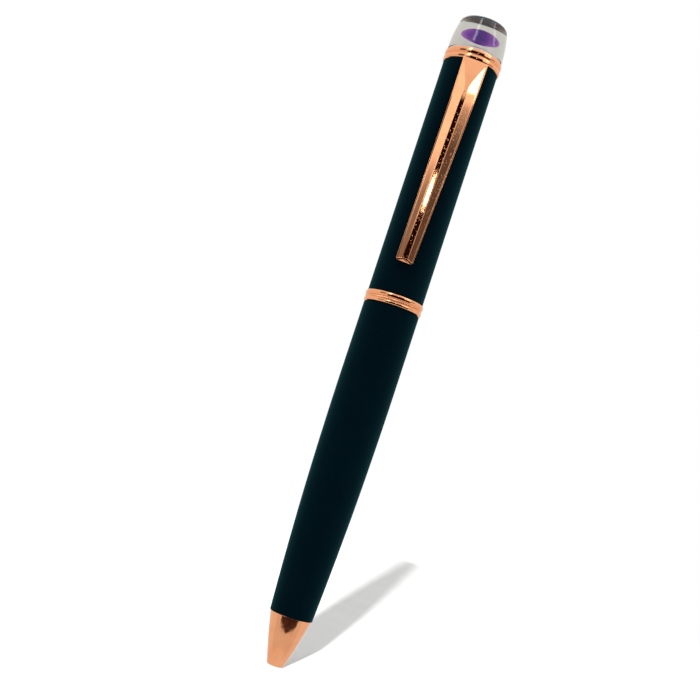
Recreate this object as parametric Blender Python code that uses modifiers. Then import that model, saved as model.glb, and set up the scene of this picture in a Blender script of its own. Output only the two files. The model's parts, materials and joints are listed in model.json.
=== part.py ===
"""Counterfeit detector pen: a twist-action metal ball pen with an ultraviolet lamp in its crown.

The pen stands upright along +Z with its origin at the middle of the nose's end face.
The clip faces -Y. Lengths below are in millimetres and MM turns them into metres.

Bodies and how they move:
  lower half    nose, lower barrel and the mechanism's fixed sleeve
  upper half    turns half a turn about the pen's axis and carries the cam, the cells and the clip ring
  refill        slides towards the nose as the upper half turns
  crown         slides a little way into the clip ring to switch the lamp on
  clip          flexes outwards about its root
"""
import math

import bmesh
import bpy
from mathutils import Matrix, Vector

MM = 0.001

# ---- driving dimensions, in millimetres ----

BARREL_R = 5.75          # outer radius of the upper barrel
LOWER_R = 5.775          # largest outer radius of the lower barrel
WALL = 0.55              # wall of both barrels
GAP = 0.3                # gap kept between pieces that touch on the real pen
FIT = 0.15               # radial gap of a piece seated in another

NOSE_TOP = 9.9           # the nose's shoulder, where the barrel begins
NOSE_END_R = 1.63
NOSE_TOP_R = 4.19
NOSE_BULGE = 0.12        # how far the cone's side bows outwards
NOSE_EDGE = 0.35         # rounding of the nose's end
LOWER_BOTTOM_R = 4.32
TAPER_END = 60.0         # height at which the lower barrel reaches its full radius
TAPER_POWER = 2.1
LOWER_TOP = 73.5

CENTRE_RING_Z = (73.8, 76.1)
UPPER_Z = (76.35, 125.95)
CLIP_RING_Z = (126.25, 128.55)
COLLAR_Z = (127.7, 128.15)
CROWN_Z = (128.45, 136.1)
BEAD_R = 6.04            # outer radius of the trim rings' beads
RING_BORE = 4.9          # the clip ring's bore, in which the crown's skirt slides
SEAT_BORE = 5.72         # its wider upper part, which takes the foot of the crown
CROWN_FOOT_R = 5.6

REFILL_TRAVEL = 5.0
TWIST = math.pi          # turn of the upper half that drives the refill
CROWN_TRAVEL = 0.3
STOP_GAP = 0.1           # left under the crown and under the switch lead when pressed

REFILL_R = 1.175         # D1 refill
REFILL_TUBE_Z = (9.2, 68.5)
BALL_R = 0.35
BALL_Z = 2.15

CARRIER_R = 1.95
CARRIER_Z = (60.5, 78.0)
PIN_R = 0.5
PIN_Z = 74.0             # the pin's height with the refill drawn in
SLEEVE_BORE = 2.2
SLEEVE_R = 2.85
CAM_BORE = 3.15
CAM_R = 4.0
SLOT_WIDTH = 1.4
INSERT_DEPTH = 0.65      # from the lower barrel's bore to the inside of its thread insert

CELL_R = 3.95            # LR41: 7.9 mm across and 3.6 mm high
CELL_HEIGHT = 3.6
CELL_COUNT = 3
CELL_BOTTOM = 100.8
SWITCH_TOP = 113.2       # upper face of the contact disc on the top cell

LED_R = 2.5
LED_Z = (120.4, 128.9)
LEAD_R = 0.25
LEAD_X = 1.27

CLIP_TOP = 126.0
CLIP_END = 82.3
CLIP_HALF_TOP = 2.63
CLIP_HALF_END = 1.74
CLIP_LEAN = math.radians(1.6)    # the clip hangs a little out of true
CLIP_PIVOT = (0.0, -6.0, 125.2)
CLIP_ROOT_RIM = 6.45     # distance of the raised edges from the pen's axis, at the root,
CLIP_CREST_RIM = 8.3     # where the clip stands furthest out,
CLIP_END_RIM = 7.75      # and at the free end
CLIP_CREST = 0.24        # place of that crest, as a part of the clip's length
CLIP_RAMP = 0.106        # length of the triangular ramp into the trough, as a part of the length
CLIP_THICKNESS = 1.45
CLIP_RAMP_DEPTH = 0.6    # depth of the trough at the ramp's foot,
CLIP_DEPTH = 0.85        # and from the crest on
CLIP_LAND = 0.22         # width of the raised edges
CLIP_FLOOR_HALF = 0.3

SEGMENTS = 36            # facets round the outer pieces
INNER_SEGMENTS = 24      # facets round the pieces inside

# name: (colour, roughness, metallic)
FINISHES = {
    "rose_gold": ((0.86, 0.50, 0.34), 0.12, 1.0),
    "teal_lacquer": ((0.004, 0.012, 0.018), 0.55, 0.0),
    "clear_acrylic": ((0.82, 0.82, 0.80), 0.05, 0.0),
    "violet_glass": ((0.16, 0.03, 0.34), 0.15, 0.0),
    "brass": ((0.78, 0.57, 0.23), 0.30, 1.0),
    "steel": ((0.62, 0.62, 0.62), 0.25, 1.0),
    "nickel": ((0.68, 0.65, 0.58), 0.22, 1.0),
    "black_plastic": ((0.02, 0.02, 0.02), 0.50, 0.0),
    "white_plastic": ((0.80, 0.80, 0.78), 0.45, 0.0),
    "cell_steel": ((0.72, 0.72, 0.70), 0.18, 1.0),
    "led_epoxy": ((0.55, 0.45, 0.80), 0.10, 0.0),
    "tinned_wire": ((0.70, 0.70, 0.70), 0.25, 1.0),
}


# ---- scene and materials ----

def clear_scene():
    for item in list(bpy.data.objects):
        bpy.data.objects.remove(item, do_unlink=True)


def new_collection(name):
    collection = bpy.data.collections.new(name)
    bpy.context.scene.collection.children.link(collection)
    return collection


def finish_material(node_name, finish):
    """A Principled material of the named finish, one to each node."""
    colour, roughness, metallic = FINISHES[finish]
    material = bpy.data.materials.new(node_name + "_" + finish)
    material.use_nodes = True
    shader = material.node_tree.nodes["Principled BSDF"]
    shader.inputs["Base Color"].default_value = (*colour, 1.0)
    shader.inputs["Roughness"].default_value = roughness
    shader.inputs["Metallic"].default_value = metallic
    material.diffuse_color = (*colour, 1.0)
    return material


# ---- shape helpers: all take millimetres ----

def add_node(name, data, finish, parent=None):
    """Put mesh or curve data in the pen's collection as the node called name."""
    item = bpy.data.objects.new(name, data)
    data.materials.append(finish_material(name, finish))
    PEN.objects.link(item)
    if parent is not None:
        item.parent = parent
        item.matrix_parent_inverse = parent.matrix_world.inverted()
    return item


def arc(centre_r, centre_z, radius, start, end, steps):
    """Points on an arc in the (r, z) half plane, angles in degrees from +r towards +z."""
    points = []
    for step in range(steps + 1):
        angle = math.radians(start + (end - start) * step / steps)
        points.append((centre_r + radius * math.cos(angle), centre_z + radius * math.sin(angle)))
    return points


def bead(radius, z_high, z_low, proud, steps=4):
    """A half-round bead on a turned side, from z_high down to z_low."""
    points = []
    for step in range(steps + 1):
        angle = math.pi * step / steps
        height = (z_high + z_low) / 2 + (z_high - z_low) / 2 * math.cos(angle)
        points.append((radius + proud * math.sin(angle), height))
    return points


def turned(name, finish, outer, inner=None, segments=INNER_SEGMENTS, parent=None):
    """A piece turned about the pen's axis. Both profiles are (r, z) points from top to bottom.

    Without an inner profile the piece is solid. An inner profile that starts on the axis is a
    blind bore, open at the bottom, and any other goes right through.
    """
    through = inner is not None and inner[0][0] > 0.0
    if inner is None:
        profile = [(0.0, outer[0][1])] + outer + [(0.0, outer[-1][1])]
    elif through:
        profile = outer + inner[::-1]
    else:
        profile = [(0.0, outer[0][1])] + outer + inner[::-1]
    edges = [(index, index + 1) for index in range(len(profile) - 1)]
    if through:
        edges.append((len(profile) - 1, 0))
    mesh = bpy.data.meshes.new(name)
    mesh.from_pydata([(r * MM, 0.0, z * MM) for r, z in profile], edges, [])
    item = add_node(name, mesh, finish, parent)
    screw = item.modifiers.new("turn", "SCREW")
    screw.axis = "Z"
    screw.steps = segments
    screw.render_steps = segments
    screw.use_merge_vertices = True
    screw.merge_threshold = 0.000001
    screw.use_smooth_shade = True
    return item


def tube(name, finish, outer_r, inner_r, z_low, z_high, segments=INNER_SEGMENTS, parent=None):
    outer = [(outer_r, z_high), (outer_r, z_low)]
    inner = [(inner_r, z_high), (inner_r, z_low)]
    return turned(name, finish, outer, inner, segments, parent)


def wire(name, finish, points, radius, parent=None):
    """A round wire along points, with flat closed ends."""
    curve = bpy.data.curves.new(name, "CURVE")
    curve.dimensions = "3D"
    curve.bevel_depth = radius * MM
    curve.bevel_resolution = 2
    curve.use_fill_caps = True
    spline = curve.splines.new("POLY")
    spline.points.add(len(points) - 1)
    for spot, point in zip(spline.points, points):
        spot.co = (point[0] * MM, point[1] * MM, point[2] * MM, 1.0)
    return add_node(name, curve, finish, parent)


def coil_points(low_r, high_r, z_low, z_high, turns, per_turn=10):
    """Points along a coil whose radius runs from low_r to high_r."""
    count = int(turns * per_turn)
    points = []
    for step in range(count + 1):
        part = step / count
        angle = 2 * math.pi * turns * part
        radius = low_r + (high_r - low_r) * part
        points.append((radius * math.cos(angle), radius * math.sin(angle), z_low + (z_high - z_low) * part))
    return points


def cutter_object(name, mesh):
    item = bpy.data.objects.new(name, mesh)
    item.display_type = "WIRE"
    item.hide_render = True
    CUTTERS.objects.link(item)
    return item


def box_cutter(name, low, high):
    builder = bmesh.new()
    bmesh.ops.create_cube(builder, size=1.0)
    size = Vector(high) - Vector(low)
    centre = (Vector(high) + Vector(low)) / 2
    bmesh.ops.scale(builder, vec=size * MM, verts=builder.verts)
    bmesh.ops.translate(builder, vec=centre * MM, verts=builder.verts)
    mesh = bpy.data.meshes.new(name)
    builder.to_mesh(mesh)
    builder.free()
    return cutter_object(name, mesh)


def radial_cutter(name, radius, x_low, x_high, z):
    """A round cutter that lies along +X at height z."""
    builder = bmesh.new()
    bmesh.ops.create_cone(builder, cap_ends=True, segments=16, radius1=radius * MM,
                          radius2=radius * MM, depth=(x_high - x_low) * MM)
    turn = Matrix.Rotation(math.pi / 2, 4, "Y")
    place = Matrix.Translation(Vector(((x_low + x_high) / 2, 0.0, z)) * MM)
    bmesh.ops.transform(builder, matrix=place @ turn, verts=builder.verts)
    mesh = bpy.data.meshes.new(name)
    builder.to_mesh(mesh)
    builder.free()
    return cutter_object(name, mesh)


def cut(item, cutter):
    boolean = item.modifiers.new("cut_" + cutter.name, "BOOLEAN")
    boolean.operation = "DIFFERENCE"
    boolean.solver = "EXACT"
    boolean.object = cutter


def joint_empty(name, position):
    """An empty on a joint's axis, which the moving pieces hang from."""
    empty = bpy.data.objects.new(name, None)
    empty.location = Vector(position) * MM
    empty.empty_display_size = 0.005
    PEN.objects.link(empty)
    bpy.context.view_layer.update()
    return empty


# ---- lower half ----

def nose_radius(z):
    part = z / NOSE_TOP
    return NOSE_END_R + (NOSE_TOP_R - NOSE_END_R) * part + NOSE_BULGE * math.sin(math.pi * part)


def lower_radius(z):
    if z >= TAPER_END:
        return LOWER_R
    part = (TAPER_END - z) / (TAPER_END - NOSE_TOP)
    return LOWER_R - (LOWER_R - LOWER_BOTTOM_R) * part ** TAPER_POWER


def make_nose():
    spigot_top = 16.5
    spigot_r = 2.9
    hole_r = 1.05
    bore_r = 1.7
    cone_steps = 6
    side = []
    for step in range(cone_steps + 1):
        z = NOSE_TOP + (2 * NOSE_EDGE - NOSE_TOP) * step / cone_steps
        side.append((nose_radius(z), z))
    rim = arc(nose_radius(NOSE_EDGE) - NOSE_EDGE, NOSE_EDGE, NOSE_EDGE, 0, -90, 3)
    outer = [(spigot_r, spigot_top), (spigot_r, NOSE_TOP)] + side + rim
    inner = [(bore_r, spigot_top), (bore_r, 3.2), (hole_r + 0.3, 2.2), (hole_r, 0.0)]
    turned("nose_cone", "rose_gold", outer, inner, SEGMENTS)
    tube("nose_thread_insert", "brass", spigot_r + FIT + 0.5, spigot_r + FIT, 10.6, 17.0)


def lower_side(top, bottom, steps, inset):
    """The lower barrel's tapering side, inset from its outer surface."""
    side = []
    for step in range(steps + 1):
        z = top + (bottom - top) * step / steps
        side.append((lower_radius(z) - inset, z))
    return side


def make_lower_barrel():
    bottom = NOSE_TOP + GAP
    outer = [(LOWER_R, LOWER_TOP)] + lower_side(TAPER_END, bottom, 10, 0.0)
    inner = [(LOWER_R - WALL, LOWER_TOP)] + lower_side(TAPER_END, bottom, 5, WALL)
    turned("lower_barrel", "teal_lacquer", outer, inner, SEGMENTS)
    bore = LOWER_R - WALL
    tube("barrel_thread_insert", "brass", bore - FIT, bore - INSERT_DEPTH, 58.0, 65.0)


def make_mechanism_sleeve():
    collar_r = LOWER_R - WALL - INSERT_DEPTH - FIT
    collar_z = (57.5, 64.3)
    top = 89.0
    groove_z = (86.5, 87.5)
    groove_r = 2.55
    outer = [(SLEEVE_R, top), (SLEEVE_R, groove_z[1]), (groove_r, groove_z[1]), (groove_r, groove_z[0]),
             (SLEEVE_R, groove_z[0]), (SLEEVE_R, collar_z[1]), (collar_r, collar_z[1]),
             (collar_r, collar_z[0])]
    inner = [(SLEEVE_BORE, top), (SLEEVE_BORE, collar_z[0])]
    sleeve = turned("mechanism_sleeve", "brass", outer, inner)
    slot_low = PIN_Z - REFILL_TRAVEL - SLOT_WIDTH / 2
    slot_high = PIN_Z + SLOT_WIDTH / 2
    cut(sleeve, box_cutter("straight_slot", (1.0, -SLOT_WIDTH / 2, slot_low),
                           (4.0, SLOT_WIDTH / 2, slot_high)))
    circlip = tube("mechanism_circlip", "steel", 3.45, groove_r + FIT, 86.8, 87.2)
    cut(circlip, box_cutter("circlip_gap", (-4.0, -0.6, 86.0), (-2.0, 0.6, 88.0)))


# ---- refill ----

def make_refill(slide):
    tip_outer = [(0.8, 12.0), (0.8, 8.9), (REFILL_R, 8.9), (REFILL_R, 7.2), (0.62, 4.2), (0.40, 2.6)]
    turned("refill_tip", "nickel", tip_outer, segments=20, parent=slide)
    tube("refill_tube", "steel", REFILL_R, REFILL_R - 0.22, *REFILL_TUBE_Z, segments=20, parent=slide)
    ball = bpy.data.meshes.new("refill_ball")
    builder = bmesh.new()
    bmesh.ops.create_uvsphere(builder, u_segments=12, v_segments=8, radius=BALL_R * MM)
    bmesh.ops.translate(builder, vec=(0.0, 0.0, BALL_Z * MM), verts=builder.verts)
    builder.to_mesh(ball)
    builder.free()
    ball.shade_smooth()
    add_node("refill_ball", ball, "steel", slide)


def make_carrier(slide):
    socket_r = REFILL_R + FIT
    socket_top = REFILL_TUBE_Z[1] + GAP
    chamfer = 0.4
    low, high = CARRIER_Z
    outer = [(CARRIER_R - chamfer, high), (CARRIER_R, high - chamfer), (CARRIER_R, low + chamfer),
             (CARRIER_R - chamfer, low)]
    carrier = turned("refill_carrier", "white_plastic", outer, parent=slide)
    builder = bmesh.new()
    depth = socket_top - low + 1.0
    bmesh.ops.create_cone(builder, cap_ends=True, segments=20, radius1=socket_r * MM,
                          radius2=socket_r * MM, depth=depth * MM)
    bmesh.ops.translate(builder, vec=(0.0, 0.0, (socket_top - depth / 2) * MM), verts=builder.verts)
    socket = bpy.data.meshes.new("carrier_socket")
    builder.to_mesh(socket)
    builder.free()
    cut(carrier, cutter_object("carrier_socket", socket))
    cut(carrier, radial_cutter("carrier_pin_hole", PIN_R + 0.1, 0.6, 3.0, PIN_Z))
    wire("carrier_pin", "steel", [(0.8, 0.0, PIN_Z), (CAM_R - 0.15, 0.0, PIN_Z)], PIN_R, slide)


# ---- upper half ----

def make_cam(turn):
    """The cam tube: its helical slot drives the pin down by REFILL_TRAVEL in half a turn."""
    bottom = 65.0
    shoulder = 86.2
    roof = 91.0
    top = 93.0
    wide_bore = 3.6
    outer = [(CAM_R, top), (CAM_R, bottom)]
    inner = [(0.0, roof), (wide_bore, roof), (wide_bore, shoulder), (CAM_BORE, shoulder), (CAM_BORE, bottom)]
    cam = turned("twist_cam", "brass", outer, inner, parent=turn)
    cut(cam, helix_cutter())


def helix_cutter():
    """A square bar swept along the slot's helix, with a little overrun at each end."""
    overrun = math.atan2(SLOT_WIDTH / 2, CAM_R)
    steps = 24
    half = SLOT_WIDTH / 2
    builder = bmesh.new()
    rings = []
    for step in range(steps + 1):
        angle = -overrun + (TWIST + 2 * overrun) * step / steps
        height = PIN_Z - REFILL_TRAVEL * min(max(angle / TWIST, 0.0), 1.0)
        ring = []
        for radius, lift in ((2.9, -half), (4.4, -half), (4.4, half), (2.9, half)):
            spot = (radius * math.cos(angle), radius * math.sin(angle), height + lift)
            ring.append(builder.verts.new(Vector(spot) * MM))
        rings.append(ring)
    for first, second in zip(rings, rings[1:]):
        for corner in range(4):
            following = (corner + 1) % 4
            builder.faces.new((first[corner], first[following], second[following], second[corner]))
    builder.faces.new(rings[0][::-1])
    builder.faces.new(rings[-1])
    bmesh.ops.recalc_face_normals(builder, faces=builder.faces)
    mesh = bpy.data.meshes.new("helical_slot")
    builder.to_mesh(mesh)
    builder.free()
    return cutter_object("helical_slot", mesh)


def make_upper_barrel(turn):
    low, high = UPPER_Z
    barrel = tube("upper_barrel", "teal_lacquer", BARREL_R, BARREL_R - WALL, low, high, SEGMENTS, turn)
    cut(barrel, box_cutter("clip_slot", (-2.1, -7.0, 123.2), (2.1, -4.0, high + 1.0)))
    bore = BARREL_R - WALL
    tube("cam_bush", "brass", bore - FIT, CAM_R + FIT, 80.2, 92.5, parent=turn)


def make_centre_ring(turn):
    """A broad bead over a hatched groove over a narrow bead, with a spigot up into the barrel."""
    low, high = CENTRE_RING_Z
    spigot_r = BARREL_R - WALL - FIT
    spigot_top = 79.5
    bore_r = 4.5
    seat_r = BARREL_R + 0.05
    groove_r = BEAD_R - 0.2
    broad = bead(seat_r, high, high - 1.05, BEAD_R - seat_r)
    narrow = bead(groove_r, low + 0.92, low + 0.15, BEAD_R - 0.02 - groove_r)
    outer = [(spigot_r, spigot_top), (spigot_r, high)] + broad + [(groove_r, high - 1.15)] + narrow
    outer.append((groove_r - 0.12, low))
    inner = [(bore_r, spigot_top), (bore_r, low)]
    turned("centre_ring", "rose_gold", outer, inner, SEGMENTS, turn)


def make_battery_stack(turn):
    inner_r = CELL_R + 0.25
    outer = [(inner_r + 0.8, 115.0), (inner_r + 0.8, 95.0)]
    inner = [(inner_r, 115.0), (inner_r, 96.0), (1.0, 96.0), (1.0, 95.0)]
    turned("battery_tube", "black_plastic", outer, inner, parent=turn)
    turned("spring_contact", "brass", [(3.7, 96.7), (3.7, 96.3)], parent=turn)
    spring = coil_points(3.2, 1.7, 97.2, 100.3, 3.0)
    wire("battery_spring", "steel", spring, 0.2, turn)
    for number in range(CELL_COUNT):
        low = CELL_BOTTOM + number * (CELL_HEIGHT + GAP)
        cap_r = CELL_R - 0.7
        outer = [(CELL_R - 0.15, low + CELL_HEIGHT), (CELL_R, low + CELL_HEIGHT - 0.15), (CELL_R, low + 0.5),
                 (CELL_R - 0.25, low + 0.25), (cap_r, low + 0.25), (cap_r - 0.1, low)]
        turned("button_cell_" + str(number + 1), "cell_steel", outer, parent=turn)
    tube("switch_contact", "brass", CELL_R - 0.1, 0.9, SWITCH_TOP - 0.3, SWITCH_TOP, parent=turn)


def make_lamp_guide(turn):
    """The bush that the lamp slides in; the crown's spring stands on its inner step."""
    outer_r = BARREL_R - WALL - FIT
    outer = [(outer_r, 125.5), (outer_r, 115.4)]
    inner = [(4.75, 125.5), (4.75, 118.7), (4.15, 118.7), (4.15, 115.4)]
    turned("lamp_guide", "brass", outer, inner, parent=turn)
    spring = coil_points(4.42, 4.42, 119.1, 124.0, 4.0)
    wire("crown_spring", "steel", spring, 0.16, turn)


def make_clip_ring(turn):
    """Two beads with a groove between them, over a stepped bore that the crown slides in."""
    low, high = CLIP_RING_Z
    seat = COLLAR_Z[0] - CROWN_TRAVEL - STOP_GAP
    base_r = BEAD_R - 0.16
    upper_bead = bead(base_r, high, high - 1.1, 0.16)
    lower_bead = bead(base_r, low + 1.1, low + 0.05, 0.14)
    outer = upper_bead + lower_bead + [(base_r - 0.15, low)]
    inner = [(SEAT_BORE, high), (SEAT_BORE, seat), (RING_BORE, seat), (RING_BORE, low)]
    turned("clip_ring", "rose_gold", outer, inner, SEGMENTS, turn)


# ---- crown ----

def make_collar(press):
    """The flanged ferrule under the crown, whose skirt presses on the crown's spring."""
    low, high = COLLAR_Z
    flange_r = CROWN_FOOT_R - 0.1
    skirt_r = 4.6
    outer = [(flange_r, high), (flange_r, low), (skirt_r, low), (skirt_r, 124.5)]
    inner = [(4.15, high), (4.15, 124.5)]
    turned("crown_collar", "black_plastic", outer, inner, SEGMENTS, press)


def crown_profile():
    """The crown's outer side from the edge of its flat top down to its foot in the clip ring."""
    low, high = CROWN_Z
    edge = 0.95
    edge_r = 5.05
    shoulder = arc(edge_r - edge, high - edge, edge, 90, 12, 5)
    side = [(5.3, 134.2), (5.47, 133.3), (5.64, 132.1), (5.76, 130.9), (5.81, 129.8), (5.79, 128.95),
            (CROWN_FOOT_R, 128.95), (CROWN_FOOT_R, low)]
    return shoulder + side


def make_crown(press):
    """The clear crown, with a light well from below in which the violet filter lens sits."""
    well_r = 2.95
    well_top = 133.8
    inner = [(0.0, well_top), (well_r, well_top), (well_r, CROWN_Z[0])]
    turned("crown_lens", "clear_acrylic", crown_profile(), inner, SEGMENTS, press)
    filter_outer = [(1.3, 133.6), (2.3, 133.1), (2.75, 132.5), (2.75, 132.1), (2.3, 131.5), (1.3, 131.0)]
    turned("uv_filter", "violet_glass", filter_outer, parent=press)


def make_lamp(press):
    low, high = LED_Z
    dome = arc(0.0, high - LED_R, LED_R, 80, 0, 5)
    led_outer = dome + [(LED_R, low + 1.0), (2.9, low + 1.0), (2.9, low)]
    turned("uv_led", "led_epoxy", led_outer, segments=24, parent=press)
    anode = [(LEAD_X, 0.0, low - 0.1), (LEAD_X, 0.0, 117.2), (1.1, 0.0, 116.6), (0.35, 0.0, 115.9),
             (0.0, 0.0, 115.2), (0.0, 0.0, SWITCH_TOP + CROWN_TRAVEL + STOP_GAP)]
    wire("led_anode_lead", "tinned_wire", anode, LEAD_R, press)
    cathode = [(-LEAD_X, 0.0, low - 0.1), (-LEAD_X, 0.0, 117.9), (-1.45, 0.0, 117.4), (-1.95, 0.0, 117.2),
               (-3.9, 0.0, 117.2)]
    wire("led_cathode_lead", "tinned_wire", cathode, LEAD_R, press)
    holder_outer = [(4.0, 127.9), (4.0, 116.6)]
    holder_inner = [(2.7, 127.9), (2.7, low + 1.2), (3.1, low + 1.2), (3.1, low - 0.3), (2.1, low - 0.3),
                    (2.1, 116.6)]
    holder = turned("lamp_holder", "black_plastic", holder_outer, holder_inner, parent=press)
    cut(holder, box_cutter("cathode_notch", (-5.0, -0.5, 116.0), (-1.5, 0.5, 117.8)))


# ---- clip ----

def clip_rim(part):
    """Distance of the clip's raised edges from the pen's axis; part runs 0 at the root to 1 at the end."""
    rising = 1.0 - (1.0 - min(part / CLIP_CREST, 1.0)) ** 2
    falling = max(part - CLIP_CREST, 0.0) / (1.0 - CLIP_CREST)
    return CLIP_ROOT_RIM + (CLIP_CREST_RIM - CLIP_ROOT_RIM) * rising - (CLIP_CREST_RIM - CLIP_END_RIM) * falling


def clip_depth(part):
    """Depth of the trough below the raised edges."""
    if part < CLIP_RAMP:
        return CLIP_RAMP_DEPTH * max(part / CLIP_RAMP, 0.05)
    deepening = min((part - CLIP_RAMP) / (CLIP_CREST - CLIP_RAMP), 1.0)
    return CLIP_RAMP_DEPTH + (CLIP_DEPTH - CLIP_RAMP_DEPTH) * deepening


def clip_section(part, floor_lift=0.0, trim=0.0):
    """One cross-section as (x, y) points: back, edge, slope, floor of the trough, slope, edge, back.

    The trough starts as a triangular ramp. floor_lift closes it at the free end, and trim narrows
    the section there to round the corners.
    """
    half = CLIP_HALF_TOP + (CLIP_HALF_END - CLIP_HALF_TOP) * part - trim
    rim = clip_rim(part)
    back = max(rim - CLIP_THICKNESS, BARREL_R + GAP)
    entry = max(min(part / CLIP_RAMP, 1.0), 0.05)
    ridge = half - CLIP_LAND
    floor_half = ridge + (CLIP_FLOOR_HALF - ridge) * entry
    floor = rim - clip_depth(part) * (1.0 - floor_lift)
    shoulder = rim - CLIP_LAND
    right = [(floor_half, -floor), (ridge, -rim), (half, -shoulder), (half, -back)]
    left = [(-x, y) for x, y in reversed(right)]
    return left + right


def make_clip(flex):
    length = CLIP_TOP - CLIP_END
    stations = [(0.0, 0.0, 0.0), (CLIP_RAMP / 2, 0.0, 0.0), (CLIP_RAMP, 0.0, 0.0), (0.17, 0.0, 0.0),
                (CLIP_CREST, 0.0, 0.0), (0.5, 0.0, 0.0), (0.75, 0.0, 0.0), (0.978, 0.0, 0.0),
                (0.984, 0.85, 0.0), (0.990, 0.85, 0.10), (1.0, 0.85, 0.45)]
    builder = bmesh.new()
    rings = []
    for part, floor_lift, trim in stations:
        z = CLIP_TOP - length * part
        rings.append([builder.verts.new((x, y, z)) for x, y in clip_section(part, floor_lift, trim)])
    count = len(rings[0])
    for upper, lower in zip(rings, rings[1:]):
        for corner in range(count):
            following = (corner + 1) % count
            builder.faces.new((upper[corner], lower[corner], lower[following], upper[following]))
    builder.faces.new(rings[0])
    builder.faces.new(rings[-1][::-1])
    bmesh.ops.recalc_face_normals(builder, faces=builder.faces)
    pivot = Vector(CLIP_PIVOT)
    lean = Matrix.Translation(pivot) @ Matrix.Rotation(CLIP_LEAN, 4, "Y") @ Matrix.Translation(-pivot)
    to_metres = Matrix.Scale(MM, 4) @ lean
    bmesh.ops.transform(builder, matrix=to_metres, verts=builder.verts)
    mesh = bpy.data.meshes.new("pocket_clip")
    builder.to_mesh(mesh)
    builder.free()
    clip = add_node("pocket_clip", mesh, "rose_gold", flex)
    join_block(clip, "clip_tongue", (-1.6, -6.4, 123.9), (1.6, -5.35, 125.1), lean)
    join_block(clip, "clip_bump", (-0.9, -6.7, 85.2), (0.9, -5.95, 87.0), lean)


def join_block(item, name, low, high, lean):
    """Unite a small block with item, such as the clip's tongue or its contact bump."""
    block = box_cutter(name, low, high)
    to_metres = Matrix.Scale(MM, 4) @ lean @ Matrix.Scale(1 / MM, 4)
    block.data.transform(to_metres)
    union = item.modifiers.new("join_" + name, "BOOLEAN")
    union.operation = "UNION"
    union.solver = "EXACT"
    union.object = block


clear_scene()
PEN = new_collection("counterfeit_detector_pen")
CUTTERS = new_collection("cutters")

make_nose()
make_lower_barrel()
make_mechanism_sleeve()

refill_slide = joint_empty("refill_slide_axis", (0.0, 0.0, PIN_Z))
make_refill(refill_slide)
make_carrier(refill_slide)

twist_axis = joint_empty("twist_axis", (0.0, 0.0, CENTRE_RING_Z[0]))
make_cam(twist_axis)
make_upper_barrel(twist_axis)
make_centre_ring(twist_axis)
make_battery_stack(twist_axis)
make_lamp_guide(twist_axis)
make_clip_ring(twist_axis)

crown_slide = joint_empty("crown_press_axis", (0.0, 0.0, COLLAR_Z[0]))
make_collar(crown_slide)
make_crown(crown_slide)
make_lamp(crown_slide)

clip_axis = joint_empty("clip_flex_axis", CLIP_PIVOT)
make_clip(clip_axis)
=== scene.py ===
"""Looks of the counterfeit detector pen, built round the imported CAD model.

Lengths are in millimetres, MM turns them into metres, and the frame is the CAD's: +Z up the pen from
the nose's end, the clip facing -Y. Heights are read from the CAD nodes, so a piece goes where its
node is. The visible trim, barrels, clip and crown are finer meshes that replace their nodes, and the
pieces inside keep their CAD meshes with a finish of their own.
"""
import json
import math

import bpy
import bmesh
from mathutils import Matrix, Vector


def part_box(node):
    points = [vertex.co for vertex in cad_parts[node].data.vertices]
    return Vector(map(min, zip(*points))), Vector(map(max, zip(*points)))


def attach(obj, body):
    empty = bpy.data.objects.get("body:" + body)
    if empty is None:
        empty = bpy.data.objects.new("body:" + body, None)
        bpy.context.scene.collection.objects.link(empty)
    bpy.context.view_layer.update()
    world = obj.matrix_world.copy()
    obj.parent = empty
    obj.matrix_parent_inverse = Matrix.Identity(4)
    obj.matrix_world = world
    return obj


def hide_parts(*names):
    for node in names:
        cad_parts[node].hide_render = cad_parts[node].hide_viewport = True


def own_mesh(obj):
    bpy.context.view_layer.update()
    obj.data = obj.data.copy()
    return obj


MM = 0.001

FINE = 160               # facets round the outer pieces
MEDIUM = 64              # facets round the small pieces inside

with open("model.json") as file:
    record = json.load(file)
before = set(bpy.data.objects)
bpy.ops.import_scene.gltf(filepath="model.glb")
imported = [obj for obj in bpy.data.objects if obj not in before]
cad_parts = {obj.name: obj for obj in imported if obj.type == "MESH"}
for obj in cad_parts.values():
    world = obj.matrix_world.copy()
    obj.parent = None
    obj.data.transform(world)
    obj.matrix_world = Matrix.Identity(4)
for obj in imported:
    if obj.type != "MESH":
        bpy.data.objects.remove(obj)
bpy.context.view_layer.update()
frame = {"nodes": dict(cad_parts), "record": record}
NODES = frame["nodes"]


def span(node):
    """Lowest and highest z of a CAD node, in millimetres."""
    low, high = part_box(node)
    return low.z / MM, high.z / MM


def outer_radius(node):
    """Largest distance of a turned CAD node's surface from the pen's axis, in millimetres."""
    low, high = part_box(node)
    return (high.x - low.x) / 2 / MM


# ---- sizes read from the frame ----

NOSE_LOW = span("nose_cone")[0]
BARREL_LOW, BARREL_HIGH = span("lower_barrel")
NOSE_TOP = BARREL_LOW - 0.3
LOWER_R = outer_radius("lower_barrel")
UPPER_LOW = span("upper_barrel")[0]
UPPER_R = outer_radius("upper_barrel")
RING_LOW = span("centre_ring")[0]
RING_HIGH = UPPER_LOW - 0.25
BEAD_R = outer_radius("centre_ring")
CLIP_RING_LOW, CLIP_RING_HIGH = span("clip_ring")
CROWN_LOW, CROWN_HIGH = span("crown_lens")


# ---- sizes of the finer shapes ----

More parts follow.
